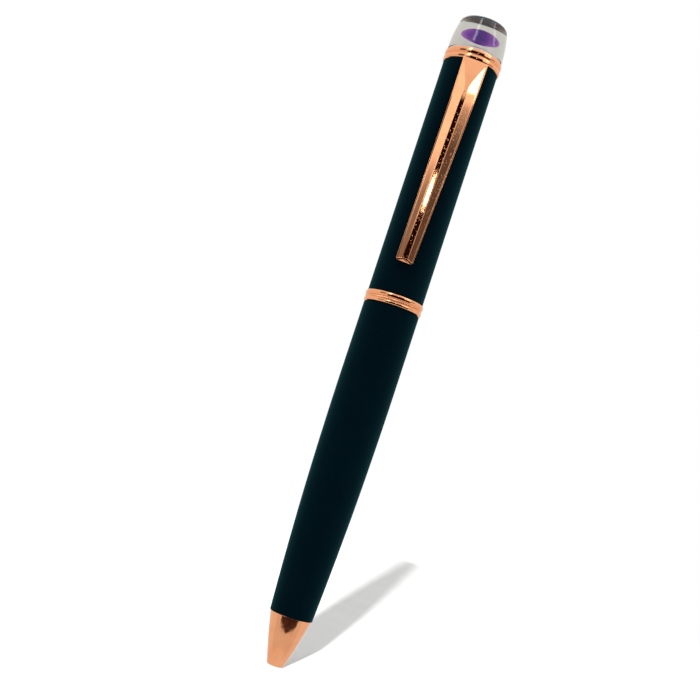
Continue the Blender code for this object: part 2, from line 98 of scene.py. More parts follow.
WALL = 0.55              # wall of both barrels
NOSE_END_R = 1.63        # the nose's side: its radius at the end,
NOSE_TOP_R = 4.19        # at the top,
NOSE_BULGE = 0.12        # and how far it bows out between them
SPIGOT_R = 2.9           # the nose's stem, which goes up inside the lower barrel
SPIGOT_TOP = 16.5
TAPER_TOP = 60.0         # the lower barrel is straight above this height
TAPER_END_R = 4.32       # and has this radius at the nose
SLOT_HALF = 2.1          # the slot in the upper barrel for the clip's root
SLOT_LOW = 123.2
SEAT_LOW = 127.3         # floor of the clip ring's seat, in which the crown's foot slides
FOOT_R = 5.6             # the crown's foot
FOOT_TOP = 128.93
LAMP_R = 2.5
REFILL_R = 1.175
CLIP_TOP = CLIP_RING_LOW - 0.16
CLIP_END = 82.3
CLIP_LENGTH = CLIP_TOP - CLIP_END
CLIP_LEAN = math.radians(1.6)    # the clip hangs a little out of true
CLIP_PIVOT = Vector((0.0, -6.0, 125.2))
CLIP_HALF_TOP = 2.63     # half the clip's width at the root
CLIP_HALF_END = 1.74     # and at the free end
CLIP_ROOT_RIM = 6.45     # distance of the clip's raised edges from the pen's axis, at the root,
CLIP_CREST_RIM = 8.3     # where the clip stands furthest out,
CLIP_END_RIM = 7.75      # and at the free end
CLIP_CREST = 0.24        # place of that crest, as a part of the clip's length
CLIP_THICKNESS = 1.45


# ---- mesh helpers: profiles and points in millimetres ----

def new_piece(name, mesh, material, body, node):
    """Link a mesh as a piece that rides on a body and stands for a CAD node."""
    piece = bpy.data.objects.new(name, mesh)
    bpy.context.scene.collection.objects.link(piece)
    mesh.materials.append(material)
    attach(piece, body)
    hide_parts(node)
    return piece


def arc(centre_r, centre_z, radius, start, end, steps=6):
    """Points of an arc in the (r, z) half plane, angles in degrees from +r towards +z."""
    points = []
    for step in range(steps + 1):
        angle = math.radians(start + (end - start) * step / steps)
        points.append((centre_r + radius * math.cos(angle), centre_z + radius * math.sin(angle)))
    return points


def rounded(corners, steps=4, support=0.04):
    """Round the corners of a profile. Each corner is (r, z) or (r, z, fillet radius).

    A support point just past each fillet keeps the flat stretch beside it shaded flat.
    """
    points = []
    count = len(corners)
    for index, corner in enumerate(corners):
        spot = Vector(corner[:2])
        fillet = corner[2] if len(corner) > 2 else 0.0
        if fillet == 0.0 or index in (0, count - 1):
            points.append(tuple(spot))
            continue
        before = Vector(corners[index - 1][:2]) - spot
        after = Vector(corners[index + 1][:2]) - spot
        turn = math.pi - before.angle(after)
        reach = min(fillet * math.tan(turn / 2), before.length * 0.45, after.length * 0.45)
        start = spot + before.normalized() * reach
        end = spot + after.normalized() * reach
        if before.length > reach + 3 * support:
            points.append(tuple(start + before.normalized() * support))
        for step in range(steps + 1):
            part = step / steps
            points.append(tuple(start * (1 - part) ** 2 + spot * 2 * part * (1 - part) + end * part ** 2))
        if after.length > reach + 3 * support:
            points.append(tuple(end + after.normalized() * support))
    return points


def turned_mesh(name, profile, segments=FINE, wave=None):
    """A closed body turned about the pen's axis from a closed (r, z) outline.

    The outline runs down the outer side and up the inner one. Where it touches the axis, those
    points become single vertices. wave(r, z, angle) may shift the radius for a knurl.
    """
    builder = bmesh.new()
    rings = []
    for r, z in profile:
        if r < 1e-6:
            rings.append([builder.verts.new((0.0, 0.0, z * MM))])
            continue
        ring = []
        for step in range(segments):
            angle = 2 * math.pi * step / segments
            radius = r + (wave(r, z, angle) if wave else 0.0)
            x, y = radius * math.cos(angle), radius * math.sin(angle)
            ring.append(builder.verts.new((x * MM, y * MM, z * MM)))
        rings.append(ring)
    pairs = list(zip(rings, rings[1:] + rings[:1]))
    for upper, lower in pairs:
        if len(upper) == 1 and len(lower) == 1:
            continue
        for step in range(segments):
            after = (step + 1) % segments
            if len(upper) == 1:
                builder.faces.new((upper[0], lower[step], lower[after]))
            elif len(lower) == 1:
                builder.faces.new((upper[step], lower[0], upper[after]))
            else:
                builder.faces.new((upper[step], lower[step], lower[after], upper[after]))
    bmesh.ops.recalc_face_normals(builder, faces=builder.faces)
    mesh = bpy.data.meshes.new(name)
    builder.to_mesh(mesh)
    builder.free()
    mesh.shade_smooth()
    mesh.set_sharp_from_angle(angle=math.radians(35))
    return mesh


def smooth_step(value):
    value = min(max(value, 0.0), 1.0)
    return value * value * (3 - 2 * value)


def soft_min(first, second, softness):
    """The smaller of two numbers, blended where they are within softness of each other."""
    blend = max(softness - abs(first - second), 0.0) / softness
    return min(first, second) - blend * blend * softness / 4


def soft_max(first, second, softness):
    return -soft_min(-first, -second, softness)


# ---- material helpers ----

class Nodes:
    """A short way to write a node tree: each call adds a node and returns its output."""

    def __init__(self, tree):
        self.tree = tree
        self.made = tree.nodes

    def put(self, socket, value):
        if isinstance(value, bpy.types.NodeSocket):
            self.tree.links.new(value, socket)
        else:
            socket.default_value = value

    def add(self, kind, **settings):
        node = self.made.new(kind)
        for key, value in settings.items():
            setattr(node, key, value)
        return node

    def math(self, operation, first, second=0.0, third=0.0):
        node = self.add("ShaderNodeMath", operation=operation)
        for index, value in enumerate((first, second, third)):
            self.put(node.inputs[index], value)
        return node.outputs[0]

    def range(self, value, low, high, to_low=0.0, to_high=1.0):
        """Map value from low..high to to_low..to_high with eased ends."""
        node = self.add("ShaderNodeMapRange", interpolation_type="SMOOTHSTEP")
        for index, item in enumerate((value, low, high, to_low, to_high)):
            self.put(node.inputs[index], item)
        return node.outputs[0]

    def noise(self, where, scale, detail=3.0, roughness=0.5):
        node = self.add("ShaderNodeTexNoise")
        self.put(node.inputs["Vector"], where)
        self.put(node.inputs["Scale"], scale)
        self.put(node.inputs["Detail"], detail)
        self.put(node.inputs["Roughness"], roughness)
        return node.outputs["Fac"]

    def spots(self, where, scale):
        """Distance from the nearest of a scatter of points, in cells."""
        node = self.add("ShaderNodeTexVoronoi", feature="F1")
        self.put(node.inputs["Vector"], where)
        self.put(node.inputs["Scale"], scale)
        return node.outputs["Distance"]

    def mix(self, share, first, second):
        node = self.add("ShaderNodeMix", data_type="RGBA")
        self.put(node.inputs["Factor"], share)
        self.put(node.inputs["A"], first)
        self.put(node.inputs["B"], second)
        return node.outputs["Result"]

    def bump(self, height, distance, normal=None):
        node = self.add("ShaderNodeBump")
        self.put(node.inputs["Height"], height)
        self.put(node.inputs["Distance"], distance)
        self.put(node.inputs["Strength"], 1.0)
        if normal is not None:
            self.put(node.inputs["Normal"], normal)
        return node.outputs["Normal"]


def new_material(name, **sockets):
    """A Principled material with values set on the shader's own sockets."""
    material = bpy.data.materials.new(name)
    material.use_nodes = True
    shader = material.node_tree.nodes["Principled BSDF"]
    for key, value in sockets.items():
        shader.inputs[key.replace("_", " ")].default_value = value
    return material, shader, Nodes(material.node_tree)


def object_point(nodes, stretch=(1.0, 1.0, 1.0)):
    """The surface point in millimetres, stretched along the axes."""
    where = nodes.add("ShaderNodeTexCoord").outputs["Object"]
    scale = nodes.add("ShaderNodeVectorMath", operation="MULTIPLY")
    nodes.put(scale.inputs[0], where)
    nodes.put(scale.inputs[1], [part / MM for part in stretch])
    return scale.outputs[0]


ROSE = (0.93, 0.40, 0.195, 1.0)
ROSE_PALE = (0.96, 0.44, 0.225, 1.0)


def make_rose_gold(name, cast=False):
    """Polished rose-gold plating: faint colour drift, polishing haze and hairlines.

    Plating over a casting also shows the casting's pits and crust where "trough" marks them.
    """
    material, shader, nodes = new_material(name, Metallic=1.0, Specular_IOR_Level=0.5)
    where = object_point(nodes)
    drift = nodes.noise(where, 0.35, 2.0)
    nodes.put(shader.inputs["Base Color"], nodes.mix(nodes.range(drift, 0.3, 0.7), ROSE, ROSE_PALE))
    haze = nodes.noise(where, 1.6, 4.0)
    hairs = nodes.noise(object_point(nodes, (9.0, 9.0, 0.5)), 1.0, 2.0)
    rough = nodes.range(haze, 0.3, 0.75, 0.035, 0.08)
    rough = nodes.math("ADD", rough, nodes.range(hairs, 0.6, 0.8, 0.0, 0.04))
    relief = nodes.bump(nodes.noise(where, 0.9, 1.0), 0.003 * MM)
    relief = nodes.bump(hairs, 0.0003 * MM, relief)
    if cast:
        trough = nodes.add("ShaderNodeAttribute", attribute_name="trough").outputs["Fac"]
        rough = nodes.math("MULTIPLY", rough, nodes.math("MULTIPLY_ADD", trough, -0.65, 1.0))
        near = nodes.spots(where, 1.9)
        pit = nodes.math("MULTIPLY", nodes.range(near, 0.12, 0.3, -1.0, 0.0), trough)
        crust = nodes.math("MULTIPLY", nodes.noise(where, 4.0, 3.0, 0.65), trough)
        relief = nodes.bump(pit, 0.015 * MM, relief)
        relief = nodes.bump(crust, 0.0012 * MM, relief)
    nodes.put(shader.inputs["Roughness"], rough)
    nodes.put(shader.inputs["Normal"], relief)
    return material


def make_lacquer():
    """Near-black teal soft-touch lacquer: fine grain, faint mottling, stray specks of dust."""
    material, shader, nodes = new_material(
        "soft_touch_lacquer", Specular_IOR_Level=0.005, Sheen_Weight=0.10, Sheen_Roughness=0.45,
        Sheen_Tint=(0.14, 0.9, 1.0, 1.0))
    where = object_point(nodes)
    mottle = nodes.noise(where, 0.12, 3.0)
    deep = (0.0001, 0.0038, 0.0070, 1.0)
    pale = (0.0003, 0.0046, 0.0082, 1.0)
    colour = nodes.mix(nodes.range(mottle, 0.3, 0.7), deep, pale)
    dust = nodes.range(nodes.spots(where, 0.23), 0.03, 0.05, 1.0, 0.0)
    rare = nodes.range(nodes.noise(where, 0.11, 1.0), 0.56, 0.6)
    speck = nodes.math("MULTIPLY", dust, rare)
    nodes.put(shader.inputs["Base Color"], nodes.mix(speck, colour, (0.10, 0.11, 0.12, 1.0)))
    grain = nodes.noise(where, 14.0, 2.0, 0.6)
    nodes.put(shader.inputs["Roughness"], nodes.range(grain, 0.3, 0.7, 0.5, 0.66))
    relief = nodes.bump(grain, 0.006 * MM)
    relief = nodes.bump(nodes.noise(where, 0.5, 2.0), 0.01 * MM, relief)
    nodes.put(shader.inputs["Normal"], nodes.bump(speck, 0.02 * MM, relief))
    return material


def make_acrylic():
    """Clear cast acrylic, faintly grey, with a soft unevenness of its polish."""
    material, shader, nodes = new_material("clear_acrylic", Transmission_Weight=1.0, IOR=1.49)
    where = object_point(nodes)
    cloud = nodes.noise(where, 0.25, 2.0)
    tint = nodes.mix(nodes.range(cloud, 0.3, 0.7), (0.56, 0.545, 0.50, 1.0), (0.60, 0.585, 0.54, 1.0))
    nodes.put(shader.inputs["Base Color"], tint)
    nodes.put(shader.inputs["Roughness"], nodes.range(nodes.noise(where, 1.2, 3.0), 0.3, 0.7, 0.0, 0.02))
    nodes.put(shader.inputs["Normal"], nodes.bump(nodes.noise(where, 0.6, 2.0), 0.002 * MM))
    return material


def make_violet():
    """Violet filter glass set in the acrylic: darker where it is thicker, with pale flecks."""
    material, shader, nodes = new_material("violet_filter", Transmission_Weight=1.0, IOR=1.03)
    where = object_point(nodes)
    split = nodes.add("ShaderNodeSeparateXYZ")
    nodes.put(split.inputs[0], where)
    across = nodes.math("ABSOLUTE", split.outputs[0])
    streaks = nodes.noise(object_point(nodes, (3.0, 3.0, 0.3)), 1.0, 2.0)
    place = nodes.math("ADD", across, nodes.math("MULTIPLY", streaks, 0.9))
    tint = nodes.mix(nodes.range(place, 0.5, 2.0), (0.36, 0.13, 0.60, 1.0), (1.0, 0.98, 1.0, 1.0))
    nodes.put(shader.inputs["Base Color"], tint)
    nodes.put(shader.inputs["Roughness"], nodes.range(nodes.noise(where, 0.8, 2.0), 0.3, 0.7, 0.05, 0.16))
    depth = nodes.add("ShaderNodeVolumeAbsorption")
    depth.inputs["Color"].default_value = (0.58, 0.0, 0.81, 1.0)
    depth.inputs["Density"].default_value = 800.0
    nodes.tree.links.new(depth.outputs[0], nodes.made["Material Output"].inputs["Volume"])
    return material


def make_machined(name, colour, other, rough=(0.22, 0.36), rings=True):
    """Turned or drawn metal: fine tool rings round the axis or lines along it, with a light tarnish."""
    material, shader, nodes = new_material(name, Metallic=1.0)
    where = object_point(nodes)
    tarnish = nodes.range(nodes.noise(where, 0.5, 4.0), 0.35, 0.7)
    nodes.put(shader.inputs["Base Color"], nodes.mix(tarnish, (*colour, 1.0), (*other, 1.0)))
    stretch = (0.3, 0.3, 9.0) if rings else (7.0, 7.0, 0.4)
    lines = nodes.noise(object_point(nodes, stretch), 1.0, 3.0)
    nodes.put(shader.inputs["Roughness"], nodes.range(lines, 0.3, 0.7, *rough))
    nodes.put(shader.inputs["Normal"], nodes.bump(lines, 0.004 * MM))
    return material


def make_moulded(name, colour, other, rough=(0.38, 0.55)):
    """Moulded plastic with a fine even grain."""
    material, shader, nodes = new_material(name, Specular_IOR_Level=0.4)
    where = object_point(nodes)
    blend = nodes.range(nodes.noise(where, 0.4, 3.0), 0.3, 0.7)
    nodes.put(shader.inputs["Base Color"], nodes.mix(blend, (*colour, 1.0), (*other, 1.0)))
    grain = nodes.noise(where, 9.0, 3.0)
    nodes.put(shader.inputs["Roughness"], nodes.range(grain, 0.3, 0.7, *rough))
    nodes.put(shader.inputs["Normal"], nodes.bump(grain, 0.006 * MM))
    return material


def make_epoxy():
    """Clear lamp epoxy with a faint violet tint."""
    material, shader, nodes = new_material("lamp_epoxy", Transmission_Weight=0.85, IOR=1.51)
    where = object_point(nodes)
    blend = nodes.range(nodes.noise(where, 0.5, 2.0), 0.3, 0.7)
    tint = nodes.mix(blend, (0.62, 0.55, 0.9, 1.0), (0.72, 0.66, 0.95, 1.0))
    nodes.put(shader.inputs["Base Color"], tint)
    nodes.put(shader.inputs["Roughness"], nodes.range(nodes.noise(where, 2.0, 2.0), 0.3, 0.7, 0.05, 0.14))
    nodes.put(shader.inputs["Normal"], nodes.bump(nodes.noise(where, 1.0, 2.0), 0.004 * MM))
    return material


ROSE_GOLD = make_rose_gold("rose_gold_plating")
ROSE_CAST = make_rose_gold("rose_gold_casting", cast=True)
LACQUER = make_lacquer()
ACRYLIC = make_acrylic()
VIOLET = make_violet()
BRASS = make_machined("turned_brass", (0.80, 0.55, 0.20), (0.66, 0.40, 0.13))
STEEL = make_machined("drawn_steel", (0.58, 0.58, 0.58), (0.44, 0.44, 0.45), (0.2, 0.34), rings=False)
NICKEL = make_machined("nickel_silver", (0.66, 0.62, 0.54), (0.54, 0.50, 0.43), (0.18, 0.3), rings=False)
CAN = make_machined("cell_can", (0.72, 0.72, 0.70), (0.60, 0.60, 0.58), (0.12, 0.24))
TIN = make_machined("tinned_wire", (0.68, 0.68, 0.67), (0.56, 0.56, 0.55), (0.25, 0.4), rings=False)
BLACK = make_moulded("black_moulding", (0.012, 0.012, 0.013), (0.022, 0.022, 0.024))
WHITE = make_moulded("white_moulding", (0.74, 0.74, 0.71), (0.80, 0.80, 0.77))
EPOXY = make_epoxy()

SLOT_FINISH = {
    "rose_gold_trim": ROSE_GOLD, "barrel_lacquer": LACQUER, "clear_acrylic": ACRYLIC,
    "violet_filter": VIOLET, "inner_brass": BRASS, "spring_steel": STEEL, "nickel_silver": NICKEL,
    "cell_steel": CAN, "black_plastic": BLACK, "white_plastic": WHITE, "led_epoxy": EPOXY,
    "tinned_wire": TIN,
}


def finish_nodes():
    """Give every CAD node the finish of its slot."""
    for row in frame["record"]["subparts"]:
        node = NODES[row["node"]]
        node.data.materials.clear()
        node.data.materials.append(SLOT_FINISH[row["material_slot"]])


# ---- lower half ----

def nose_radius(z):
    """The nose's side: a cone that bows out a little."""
    part = z / NOSE_TOP
    return NOSE_END_R + (NOSE_TOP_R - NOSE_END_R) * part + NOSE_BULGE * math.sin(math.pi * part)


def build_nose():
    """The cone with a rounded end, its stem and the bore for the refill."""
    edge = 0.42              # rounding of the end
    slope = 17.0             # slope of the side there, in degrees
    mouth_r, bore_r = 1.05, 1.7
    steps = 28
    top = BARREL_LOW - 0.13
    below = top - 0.2
    outer = rounded([(SPIGOT_R, SPIGOT_TOP), (SPIGOT_R, top, 0.05), (nose_radius(top), top, 0.06),
                     (nose_radius(below), below)])
    for step in range(1, steps + 1):
        z = below + (edge * 1.02 - below) * step / steps
        outer.append((nose_radius(z), z))
    tilt = math.radians(slope)
    edge_r = nose_radius(edge * (1 - math.sin(tilt))) - edge * math.cos(tilt)
    outer += arc(edge_r, edge, edge, -slope, -90, 8)
    inner = rounded([(mouth_r, NOSE_LOW), (1.35, 2.2, 0.2), (bore_r, 3.2, 0.2), (bore_r, SPIGOT_TOP)])
    mesh = turned_mesh("nose_visual", outer + inner)
    new_piece("nose_visual", mesh, ROSE_GOLD, "lower_half", "nose_cone")


def lower_radius(z):
    """The lower barrel's side: straight at the top and tapering in a curve towards the nose."""
    if z >= TAPER_TOP:
        return LOWER_R
    part = (TAPER_TOP - z) / (TAPER_TOP - NOSE_TOP)
    return LOWER_R - (LOWER_R - TAPER_END_R) * part ** 2.1


def build_lower_barrel():
    """The tapering tube, its lower edge close to the nose and its upper one to the centre ring."""
    outer_steps, inner_steps = 60, 12
    low = BARREL_LOW - 0.12
    high = BARREL_HIGH + 0.2
    first, last = high - 0.5, low + 0.4
    outer = rounded([(LOWER_R - WALL, high), (LOWER_R, high, 0.1), (LOWER_R, first)])
    for step in range(1, outer_steps):
        z = first + (last - first) * step / outer_steps
        outer.append((lower_radius(z), z))
    low_r = lower_radius(low)
    outer += rounded([(lower_radius(last), last), (low_r, low, 0.08), (low_r - WALL, low)])
    inner = []
    for step in range(inner_steps + 1):
        z = low + 0.1 + (high - low - 0.2) * step / inner_steps
        inner.append((lower_radius(z) - WALL, z))
    mesh = turned_mesh("lower_barrel_visual", outer + inner)
    new_piece("lower_barrel_visual", mesh, LACQUER, "lower_half", "lower_barrel")


# ---- upper half ----

def half_bead(radius, high, low, proud, steps=14):
    """A bead's half-round side from high down to low, standing proud of radius."""
    points = []
    for step in range(steps + 1):
        angle = math.pi * step / steps
        z = (high + low) / 2 + (high - low) / 2 * math.cos(angle)
        points.append((radius + proud * math.sin(angle) ** 0.8, z))
    return points


def build_centre_ring():
    """A broad bead, a groove with rope-like slanted cuts, and a narrow bead."""
    strands, facets, rope_steps = 96, 6, 8
    rope_high, rope_low = RING_HIGH - 0.98, RING_HIGH - 1.5
    rope_r, broad_r, narrow_r = 5.86, 5.8, 5.84
    stem_r, bore_r, stem_top = 4.9, 4.6, RING_HIGH + 3.3
    low = RING_LOW - 0.02
    broad = half_bead(broad_r, RING_HIGH, rope_high + 0.02, BEAD_R - broad_r)
    rope = []
    for step in range(rope_steps + 1):
        rope.append((rope_r, rope_high + (rope_low - rope_high) * step / rope_steps))
    narrow = half_bead(narrow_r, rope_low - 0.02, low + 0.12, BEAD_R - 0.02 - narrow_r)
    outer = [(stem_r, stem_top), (stem_r, RING_HIGH)] + broad + rope + narrow + [(5.7, low), (bore_r, low)]
    inner = [(bore_r, stem_top)]

    def wave(r, z, angle):
        """Raise the strands of the rope, slanted round the ring, and sink the cuts between them."""
        if abs(r - rope_r) > 1e-6:
            return 0.0
        across = (z - rope_low) / (rope_high - rope_low)
        swell = math.sin(math.pi * across)
        cut = abs(math.sin(strands / 2 * angle + across * math.pi * 0.9))
        return 0.11 * swell * (cut ** 0.6) - 0.05

    mesh = turned_mesh("centre_ring_visual", outer + inner, strands * facets, wave)
    new_piece("centre_ring_visual", mesh, ROSE_GOLD, "upper_half", "centre_ring")


def build_upper_barrel():
    """The straight tube, with a slot at the top for the clip's root."""
    low = UPPER_LOW - 0.18
    high = CLIP_RING_LOW - 0.05
    bore = UPPER_R - WALL
    outer = rounded([(bore, high), (UPPER_R, high, 0.08), (UPPER_R, high - 12.0), (UPPER_R, high - 30.0),
                     (UPPER_R, low, 0.08), (bore, low)])
    mesh = turned_mesh("upper_barrel_visual", outer + [(bore, (low + high) / 2)])
    cutter = box_object((-SLOT_HALF, -7.0, SLOT_LOW), (SLOT_HALF, -4.0, high + 1.0))
    apply_boolean(mesh, cutter, "DIFFERENCE")
    new_piece("upper_barrel_visual", mesh, LACQUER, "upper_half", "upper_barrel")


def box_object(low, high, bevel=0.0):
    """A box as a loose object, for cutting and joining."""
    builder = bmesh.new()
    bmesh.ops.create_cube(builder, size=1.0)
    bmesh.ops.scale(builder, vec=(Vector(high) - Vector(low)) * MM, verts=builder.verts)
    bmesh.ops.translate(builder, vec=(Vector(high) + Vector(low)) / 2 * MM, verts=builder.verts)
    if bevel > 0.0:
        bmesh.ops.bevel(builder, geom=builder.edges[:], offset=bevel * MM, segments=3, affect="EDGES",
                        profile=0.5)
    mesh = bpy.data.meshes.new("block")
    builder.to_mesh(mesh)
    builder.free()
    item = bpy.data.objects.new("block", mesh)
    bpy.context.scene.collection.objects.link(item)
    return item


def apply_boolean(mesh, block, operation):
    """Cut or join block into mesh, in place, and remove the block."""
    work = bpy.data.objects.new("work", mesh.copy())
    bpy.context.scene.collection.objects.link(work)
    boolean = work.modifiers.new("boolean", "BOOLEAN")
    boolean.operation = operation
    boolean.solver = "EXACT"
    boolean.object = block
    result = bpy.data.meshes.new_from_object(work.evaluated_get(bpy.context.evaluated_depsgraph_get()))
    builder = bmesh.new()
    builder.from_mesh(result)
    mesh.clear_geometry()
    builder.to_mesh(mesh)
    builder.free()
    for item in (work, block):
        bpy.data.objects.remove(item)
    mesh.shade_smooth()
    mesh.set_sharp_from_angle(angle=math.radians(40))


def build_clip_ring():
    """Two beads with a groove between them; the crown's foot slides inside its upper part."""
    low, high = CLIP_RING_LOW - 0.05, CLIP_RING_HIGH
    groove = low + 1.17
    bore_r, seat_r = 4.9, 5.72
    upper_bead = half_bead(5.9, high, groove + 0.03, 0.15)
    lower_bead = half_bead(5.88, groove - 0.03, low + 0.04, 0.14)
    foot = rounded([(5.84, low + 0.03), (5.78, low, 0.03), (bore_r, low)])
    outer = upper_bead + [(5.91, groove)] + lower_bead + foot
    inner = [(bore_r, SEAT_LOW), (seat_r, SEAT_LOW), (seat_r, high - 0.04), (seat_r + 0.04, high)]
    mesh = turned_mesh("clip_ring_visual", outer + inner)
    new_piece("clip_ring_visual", mesh, ROSE_GOLD, "upper_half", "clip_ring")


def coil_mesh(name, coil_r, wire_r, low, high, turns, per_turn=40, around=12):
    """A round wire coil about the pen's axis with closed ground ends."""
    builder = bmesh.new()
    steps = int(turns * per_turn)
    rise = (high - low) / (2 * math.pi * turns)
    rings = []
    for step in range(steps + 1):
        angle = 2 * math.pi * turns * step / steps
        part = step / steps
        radial = Vector((math.cos(angle), math.sin(angle), 0.0))
        along = Vector((-math.sin(angle), math.cos(angle), rise / coil_r)).normalized()
        normal = along.cross(radial)
        centre = radial * coil_r + Vector((0.0, 0.0, low + (high - low) * part))
        ring = []
        for side in range(around):
            turn = 2 * math.pi * side / around
            outward = radial * math.cos(turn) + normal * math.sin(turn)
            ring.append(builder.verts.new((centre + outward * wire_r) * MM))
        rings.append(ring)
    for first, second in zip(rings, rings[1:]):
        for side in range(around):
            after = (side + 1) % around
            builder.faces.new((first[side], first[after], second[after], second[side]))
    builder.faces.new(rings[0][::-1])
    builder.faces.new(rings[-1])
    bmesh.ops.recalc_face_normals(builder, faces=builder.faces)
    mesh = bpy.data.meshes.new(name)
    builder.to_mesh(mesh)
    builder.free()
    mesh.shade_smooth()
    return mesh


def build_crown_spring():
    """The coil that lifts the crown and shortens as the crown goes down, built here at the length of its CAD
    node, with a mesh of its own.
    """
    low, high = span("crown_spring")
    coil_r, wire_r, turns = 4.42, 0.16, 4.0
    mesh = coil_mesh("crown_spring_visual", coil_r, wire_r, low + wire_r, high - wire_r, turns)
    spring = new_piece("crown_spring_visual", mesh, STEEL, "upper_half", "crown_spring")
    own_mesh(spring)


# ---- crown ----

def build_collar():
    """A flanged ferrule under the crown's foot."""
    low, high = span("crown_collar")
    bore_r, sleeve_r, flange_r = 4.15, 4.6, 5.5
    flange_low = high - 0.45
    outer = rounded([(bore_r, high), (flange_r, high, 0.05), (flange_r, flange_low, 0.05),
                     (sleeve_r, flange_low, 0.03), (sleeve_r, low, 0.05), (bore_r, low)])
    mesh = turned_mesh("crown_collar_visual", outer)
    new_piece("crown_collar_visual", mesh, BLACK, "crown", "crown_collar")


def crown_side():
    """The crown's side from its shoulder down to its foot, as a smooth curve through a few points."""
    knots = [(5.03, 135.38), (5.3, 134.2), (5.47, 133.3), (5.64, 132.1), (5.76, 130.9), (5.81, 129.8),
             (5.79, 128.96)]
    steps = 5
    points = []
    for index in range(len(knots) - 1):
        before = Vector(knots[max(index - 1, 0)])
        first, second = Vector(knots[index]), Vector(knots[index + 1])
        after = Vector(knots[min(index + 2, len(knots) - 1)])
        for step in range(steps):
            part = step / steps
            spot = 0.5 * ((2 * first) + (second - before) * part
                          + (2 * before - 5 * first + 4 * second - after) * part ** 2
                          + (3 * first - before - 3 * second + after) * part ** 3)
            points.append(tuple(spot))
    points.append(knots[-1])
    return points


def build_crown():
    """Clear crown: flat top, round shoulder, bowed side and a foot inside the clip ring."""
    edge, face_r = 0.95, 4.1
    face = [(r, CROWN_HIGH) for r in (0.0, 1.4, 2.8, 3.9)]
    shoulder = arc(face_r, CROWN_HIGH - edge, edge, 90, 14, 12)
    foot = [(5.77, FOOT_TOP), (FOOT_R, FOOT_TOP)]
    foot += rounded([(FOOT_R, FOOT_TOP), (FOOT_R, CROWN_LOW, 0.05), (1.75, CROWN_LOW)])[1:]
    pocket_r = LAMP_R + 0.18
    lamp_centre = span("uv_led")[1] - LAMP_R
    mouth = math.degrees(math.asin((CROWN_LOW - lamp_centre) / pocket_r))
    pocket = arc(0.0, lamp_centre, pocket_r, mouth, 90, 8)
    pocket[-1] = (0.0, lamp_centre + pocket_r)
    mesh = turned_mesh("crown_visual", face + shoulder + crown_side() + foot + pocket)
    new_piece("crown_visual", mesh, ACRYLIC, "crown", "crown_lens")


def build_filter():
    """The violet lens: a bi-convex disc."""
    low, high = span("uv_filter")
    middle = (low + high) / 2 + 0.2
    half = (high - low) / 2
    rim_r, steps = 2.65, 16
    points = []
    for step in range(steps + 1):
        part = step / steps
        points.append((rim_r * math.sin(part * math.pi / 2), middle + half * math.cos(part * math.pi / 2)))
    lower = [(r, 2 * middle - z) for r, z in reversed(points[:-1])]
    mesh = turned_mesh("uv_filter_visual", points + lower, 96)
    new_piece("uv_filter_visual", mesh, VIOLET, "crown", "uv_filter")


def build_lamp():
    """Round five millimetre lamp with a rim at its foot."""
    low, high = span("uv_led")
    rim_r, rim_top = 2.9, low + 1.0
    dome = arc(0.0, high - LAMP_R, LAMP_R, 90, 0, 18)
    dome[0] = (0.0, high)
    rim = rounded([(LAMP_R, high - LAMP_R), (LAMP_R, rim_top, 0.08), (rim_r, rim_top, 0.1), (rim_r, low, 0.1),
                   (0.0, low)])
    mesh = turned_mesh("uv_lamp_visual", dome + rim[1:], MEDIUM)
    new_piece("uv_lamp_visual", mesh, EPOXY, "crown", "uv_led")


# ---- refill ----

def build_refill_tip():
    """The point: a plug in the tube, a shoulder, a long cone and a fine end round the ball."""
    low, high = span("refill_tip")
    plug_r, shoulder = 0.8, 8.9
    outer = [(0.0, high), (plug_r, high), (plug_r, shoulder)]
    outer += rounded([(plug_r, shoulder), (REFILL_R, shoulder, 0.05), (REFILL_R, 7.2, 0.6), (0.62, 4.2, 0.15),
                      (0.56, 4.1, 0.05), (0.40, low, 0.05), (0.0, low)])[1:]
    mesh = turned_mesh("refill_tip_visual", outer, MEDIUM)
    new_piece("refill_tip_visual", mesh, NICKEL, "refill", "refill_tip")


def build_refill_ball():
    low, high = span("refill_ball")
    radius = (high - low) / 2
    ball = arc(0.0, (low + high) / 2, radius, 90, -90, 16)
    ball[0] = (0.0, high)
    ball[-1] = (0.0, low)
    mesh = turned_mesh("refill_ball_visual", ball, 32)
    new_piece("refill_ball_visual", mesh, STEEL, "refill", "refill_ball")


# ---- clip ----

def clip_half(part):
    """Half the clip's width, part running from 0 at the root to 1 at the free end."""
    return CLIP_HALF_TOP + (CLIP_HALF_END - CLIP_HALF_TOP) * part


def clip_rim(part):
    """Distance of the clip's raised edges from the pen's axis."""
    rising = 1.0 - (1.0 - min(part / CLIP_CREST, 1.0)) ** 2
    falling = max(part - CLIP_CREST, 0.0) / (1.0 - CLIP_CREST)
    rise, fall = CLIP_CREST_RIM - CLIP_ROOT_RIM, CLIP_CREST_RIM - CLIP_END_RIM
    return CLIP_ROOT_RIM + rise * rising - fall * falling


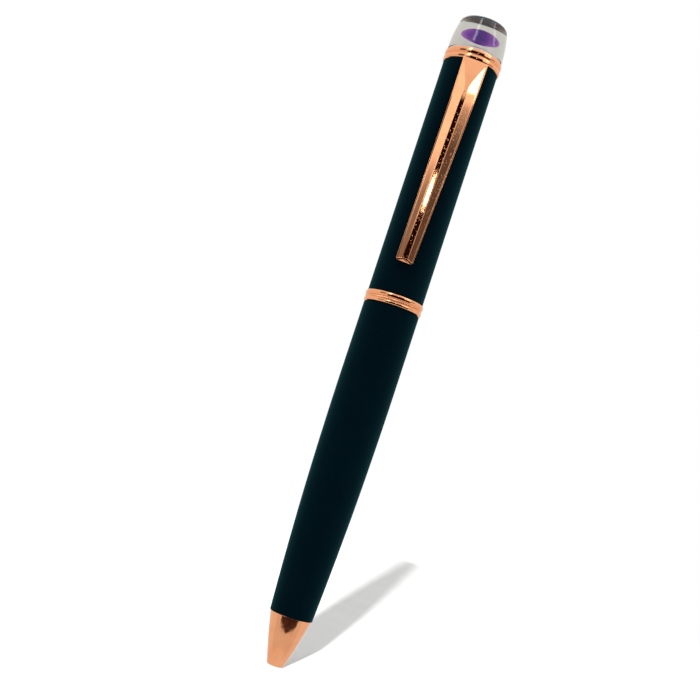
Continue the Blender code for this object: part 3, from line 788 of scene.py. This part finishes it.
def clip_depth(part, side):
    """Depth of the front below the raised edges, side being the place right of the clip's middle line.

    The trough is a V with a flat floor. It starts as a triangular ramp and is closed by a lip at the
    free end.
    """
    land = 0.2               # width of the raised edges
    ridge = clip_half(part) - land
    drop = 0.6 + 0.25 * smooth_step((part - 0.1) / 0.14) - 0.15 * smooth_step((part - 0.4) / 0.6)
    steepness = drop / (ridge - 0.24 - 0.18 * part)
    slope = steepness * (ridge - abs(side))
    valley = 0.2 + 0.2 * smooth_step((part - 0.12) / 0.12) + 0.14 * part
    deepest = steepness * (ridge - valley)
    ramp_end = 0.13 - 0.035 * side / ridge
    ramp = 0.6 * part / ramp_end
    from_end = (1.0 - part) * CLIP_LENGTH
    lip = (from_end - 0.36) * 6.0
    depth = soft_min(soft_min(slope, ramp, 0.1), lip, 0.12)
    depth = soft_min(depth, deepest, 0.05)
    return soft_max(depth, 0.0, 0.06)


def clip_front(part, across):
    """A point of the clip's front; across runs from -1 to 1 over its width."""
    corner = 0.55
    from_end = (1.0 - part) * CLIP_LENGTH
    half = clip_half(part)
    if from_end < corner:
        half -= corner - math.sqrt(max(corner ** 2 - (corner - from_end) ** 2, 0.0))
    side = across * half
    edge = 0.1
    fall = 0.0
    for away in (half - abs(side), from_end):
        if away < edge:
            fall += edge - math.sqrt(max(edge ** 2 - (edge - away) ** 2, 0.0))
    out = clip_rim(part) - clip_depth(part, side) - fall
    notch = 0.42 * (1.0 - across ** 2) ** 2
    z = CLIP_TOP - part * (CLIP_LENGTH - notch * smooth_step((part - 0.9) / 0.1))
    return Vector((across * half, -out, z))


def clip_back(part):
    """Distance of the clip's back from the pen's axis, with the bump that touches the barrel."""
    bump_z, bump_length = 86.1, 0.55
    back = max(clip_rim(part) - CLIP_THICKNESS, UPPER_R + 0.3)
    z = CLIP_TOP - part * CLIP_LENGTH
    bump = math.exp(-((z - bump_z) / bump_length) ** 2)
    return back, bump


def clip_parts(values, steps):
    """Evenly filled places between the given ones."""
    places = []
    for first, second in zip(values, values[1:]):
        for step in range(steps):
            places.append(first + (second - first) * step / steps)
    places.append(values[-1])
    return places


def build_clip():
    """The clip, as rings of points from root to free end, closer together where it bends."""
    along = clip_parts([0.0, 0.003, 0.02, 0.06, 0.09, 0.12, 0.17, 0.24, 0.4, 0.6, 0.8, 0.93, 0.962,
                        0.975, 0.984, 0.9905, 0.9955, 0.9985, 1.0], 8)
    half_across = clip_parts([0.0, 0.06, 0.12, 0.3, 0.6, 0.85, 0.9, 0.95, 0.985, 1.0], 4)
    across = [-place for place in reversed(half_across[1:])] + half_across
    builder = bmesh.new()
    rings = []
    for part in along:
        ring = [builder.verts.new(clip_front(part, place)) for place in across]
        right = ring[-1].co
        back, bump = clip_back(part)
        half = right.x
        for place in (1.0, 0.93, 0.5, 0.25, 0.0, -0.25, -0.5, -0.93, -1.0):
            lift = 0.12 if abs(place) == 1.0 else 0.0
            low = back + lift - bump * 0.55 * smooth_step((0.6 - abs(place)) / 0.4)
            ring.append(builder.verts.new((half * place, -min(low, -right.y - 0.02), right.z)))
        rings.append(ring)
    count = len(rings[0])
    for upper, lower in zip(rings, rings[1:]):
        for corner in range(count):
            after = (corner + 1) % count
            builder.faces.new((upper[corner], lower[corner], lower[after], upper[after]))
    for ring in (rings[0], rings[-1]):
        front, behind = ring[:len(across)], ring[len(across):]
        builder.faces.new(front + behind)
    bmesh.ops.recalc_face_normals(builder, faces=builder.faces)
    bmesh.ops.transform(builder, matrix=Matrix.Scale(MM, 4), verts=builder.verts)
    mesh = bpy.data.meshes.new("pocket_clip_visual")
    builder.to_mesh(mesh)
    builder.free()
    tongue = box_object((-1.6, -6.3, 123.9), (1.6, -5.35, 125.1), 0.12)
    apply_boolean(mesh, tongue, "UNION")
    mark_trough(mesh)
    lean = Matrix.Rotation(CLIP_LEAN, 4, "Y")
    lean = Matrix.Translation(CLIP_PIVOT) @ lean @ Matrix.Translation(-CLIP_PIVOT)
    mesh.transform(Matrix.Scale(MM, 4) @ lean @ Matrix.Scale(1 / MM, 4))
    new_piece("pocket_clip_visual", mesh, ROSE_CAST, "clip", "pocket_clip")


def mark_trough(mesh):
    """Store how pitted the casting is at each point: most in the valley, less on the right slope."""
    marks = mesh.attributes.new("trough", "FLOAT", "POINT")
    for vertex in mesh.vertices:
        x, y, z = vertex.co / MM
        part = (CLIP_TOP - z) / CLIP_LENGTH
        side = abs(x) / max(clip_half(min(max(part, 0.0), 1.0)), 0.1)
        valley = smooth_step((0.42 - side) / 0.25)
        right = 0.45 * smooth_step((x - 0.3) / 0.8) * smooth_step((part - 0.17) / 0.05)
        marks.data[vertex.index].value = max(valley * smooth_step((part - 0.13) / 0.08), right)


# ---- stage, lights and camera ----

def build_floor():
    """A round pale floor that fades out towards its edge."""
    radius, fade_start = 800.0, 380.0
    builder = bmesh.new()
    bmesh.ops.create_circle(builder, cap_ends=True, segments=128, radius=radius * MM)
    mesh = bpy.data.meshes.new("floor")
    builder.to_mesh(mesh)
    builder.free()
    floor = bpy.data.objects.new("floor", mesh)
    bpy.context.scene.collection.objects.link(floor)
    material, shader, nodes = new_material("pale_floor", Roughness=0.9, Specular_IOR_Level=0.1)
    where = object_point(nodes)
    length = nodes.add("ShaderNodeVectorMath", operation="LENGTH")
    nodes.put(length.inputs[0], where)
    paper = nodes.range(nodes.noise(where, 0.05, 3.0), 0.3, 0.7)
    shade = nodes.mix(paper, (0.56, 0.56, 0.56, 1.0), (0.58, 0.58, 0.58, 1.0))
    nodes.put(shader.inputs["Base Color"], shade)
    fade = nodes.range(length.outputs["Value"], fade_start, radius - 20.0, 1.0, 0.0)
    nodes.put(shader.inputs["Alpha"], fade)
    mesh.materials.append(material)
    floor.visible_glossy = False
    floor.visible_transmission = False


def patch(nodes, angles, centre, half_size, soft):
    """A soft-edged rectangle in azimuth and elevation, 1 inside and 0 outside; all in degrees."""
    inside = []
    for angle, middle, half in zip(angles, centre, half_size):
        away = nodes.math("ABSOLUTE", nodes.math("SUBTRACT", angle, middle))
        inside.append(nodes.range(away, half, half + soft, 1.0, 0.0))
    return nodes.math("MULTIPLY", *inside)


def superellipse(nodes, angles, centre, half_size, soft, power=2.0):
    """A rounded patch in azimuth and elevation, 1 inside and 0 outside.

    power sets its outline, from 1 for a diamond to 2 for an ellipse.
    """
    parts = []
    for angle, middle, half in zip(angles, centre, half_size):
        away = nodes.math("DIVIDE", nodes.math("SUBTRACT", angle, middle), half)
        parts.append(nodes.math("POWER", nodes.math("ABSOLUTE", away), power))
    return nodes.range(nodes.math("ADD", *parts), 1.0, 1.0 + soft, 1.0, 0.0)


def build_world():
    """White studio: pale all round, dark low in front, with strip lights to the left and right.

    Azimuth is 0 towards -Y and grows towards +X. Each patch below is a region of the surroundings and
    its brightness, and later ones cover earlier ones. The camera itself sees plain white.
    """
    world = bpy.data.worlds.new("studio")
    bpy.context.scene.world = world
    world.use_nodes = True
    nodes = Nodes(world.node_tree)
    split = nodes.add("ShaderNodeSeparateXYZ")
    nodes.put(split.inputs[0], nodes.add("ShaderNodeTexCoord").outputs["Generated"])
    x, y, z = split.outputs
    to_degrees = 180 / math.pi
    azimuth = nodes.math("MULTIPLY", nodes.math("ARCTAN2", x, nodes.math("MULTIPLY", y, -1.0)), to_degrees)
    elevation = nodes.math("MULTIPLY", nodes.math("ARCSINE", z), to_degrees)
    angles = (azimuth, elevation)
    level = nodes.range(elevation, 0.0, 55.0, 0.84, 1.0)
    slanted = nodes.math("ADD", azimuth, nodes.math("MULTIPLY", elevation, 0.6))
    dark_front = (
        (superellipse(nodes, angles, (-3.5, -30.0), (80.0, 8.6), 0.25), 0.74),
        (superellipse(nodes, angles, (-3.5, -30.0), (52.0, 4.7), 0.06, 1.3), 0.05),
        (patch(nodes, angles, (11.0, -8.0), (46.0, 16.0), 4.0), 0.014),
        (patch(nodes, angles, (5.0, -1.0), (26.0, 22.0), 4.0), 0.014),
    )
    strip_lights = (
        (patch(nodes, angles, (-36.0, 26.0), (4.0, 6.0), 4.0), 1.3),
        (patch(nodes, angles, (46.0, 30.5), (12.5, 17.5), 4.0), 1.3),
        (patch(nodes, angles, (-29.0, 44.0), (4.5, 17.0), 2.5), 5.2),
        (patch(nodes, (slanted, elevation), (77.0, 50.0), (3.5, 22.0), 2.0), 4.5),
    )
    side_walls_and_glint = (
        (patch(nodes, angles, (-56.0, 12.5), (8.0, 4.5), 10.0), 0.12),
        (patch(nodes, angles, (70.0, 10.5), (9.0, 3.0), 5.0), 0.28),
        (patch(nodes, angles, (5.0, 13.15), (2.0, 0.35), 0.4), 9.0),
    )
    for mask, value in dark_front + strip_lights + side_walls_and_glint:
        mixer = nodes.add("ShaderNodeMix", data_type="FLOAT")
        nodes.put(mixer.inputs["Factor"], mask)
        nodes.put(mixer.inputs["A"], level)
        nodes.put(mixer.inputs["B"], value)
        level = mixer.outputs["Result"]
    rays = nodes.add("ShaderNodeLightPath").outputs
    through = nodes.add("ShaderNodeMix", data_type="FLOAT")
    nodes.put(through.inputs["Factor"], rays["Is Transmission Ray"])
    nodes.put(through.inputs["A"], level)
    below = patch(nodes, (nodes.math("ABSOLUTE", azimuth), elevation), (180.0, -30.0), (44.0, 20.0), 5.0)
    nodes.put(through.inputs["B"], nodes.math("MULTIPLY_ADD", below, -0.84, 0.92))
    level = through.outputs["Result"]
    studio = world.node_tree.nodes["Background"]
    nodes.put(studio.inputs["Strength"], level)
    warm = nodes.mix(nodes.range(level, 0.03, 0.16), (1.0, 0.45, 0.38, 1.0), (1.0, 0.995, 0.98, 1.0))
    cool = nodes.mix(nodes.range(level, 0.0, 0.5), (0.6, 0.9, 1.0, 1.0), (1.0, 1.0, 0.98, 1.0))
    nodes.put(studio.inputs["Color"], nodes.mix(rays["Is Transmission Ray"], warm, cool))
    plain = nodes.add("ShaderNodeBackground")
    plain.inputs["Color"].default_value = (1.0, 1.0, 1.0, 1.0)
    chooser = nodes.add("ShaderNodeMixShader")
    nodes.put(chooser.inputs[0], rays["Is Camera Ray"])
    nodes.put(chooser.inputs[1], studio.outputs[0])
    nodes.put(chooser.inputs[2], plain.outputs[0])
    nodes.put(world.node_tree.nodes["World Output"].inputs["Surface"], chooser.outputs[0])


def build_lights():
    """A low key light from the front left, which lights only the floor and casts the pen's shadow."""
    sun = bpy.data.lights.new("key", "SUN")
    sun.energy = 13.5
    sun.angle = math.radians(1.4)
    key = bpy.data.objects.new("key", sun)
    lit = bpy.data.collections.new("lit_by_key")
    lit.objects.link(bpy.data.objects["floor"])
    key.light_linking.receiver_collection = lit
    key.rotation_euler = Vector((-0.2, -0.98, 0.27)).to_track_quat("Z", "Y").to_euler()
    bpy.context.scene.collection.objects.link(key)


def build_camera():
    """The camera low in front of the pen, rolled so that the pen leans to the right."""
    data = bpy.data.cameras.new("camera")
    data.sensor_width = 36.0
    data.lens = 60.351
    data.clip_start = 0.01
    camera = bpy.data.objects.new("camera", data)
    place = Vector((-18.84, -233.45, 39.89))
    target = Vector((-5.376, 0.0, 63.302))
    aim = (place - target).to_track_quat("Z", "Y").to_matrix().to_4x4()
    roll = Matrix.Rotation(math.radians(18.302), 4, "Z")
    camera.matrix_world = Matrix.Translation(place * MM) @ aim @ roll
    bpy.context.scene.collection.objects.link(camera)
    bpy.context.scene.camera = camera


finish_nodes()
build_nose()
build_lower_barrel()
build_centre_ring()
build_upper_barrel()
build_clip_ring()
build_crown_spring()
build_collar()
build_crown()
build_filter()
build_lamp()
build_refill_tip()
build_refill_ball()
build_clip()

build_floor()
build_world()
build_lights()
build_camera()
bpy.context.scene.view_settings.view_transform = "Standard"
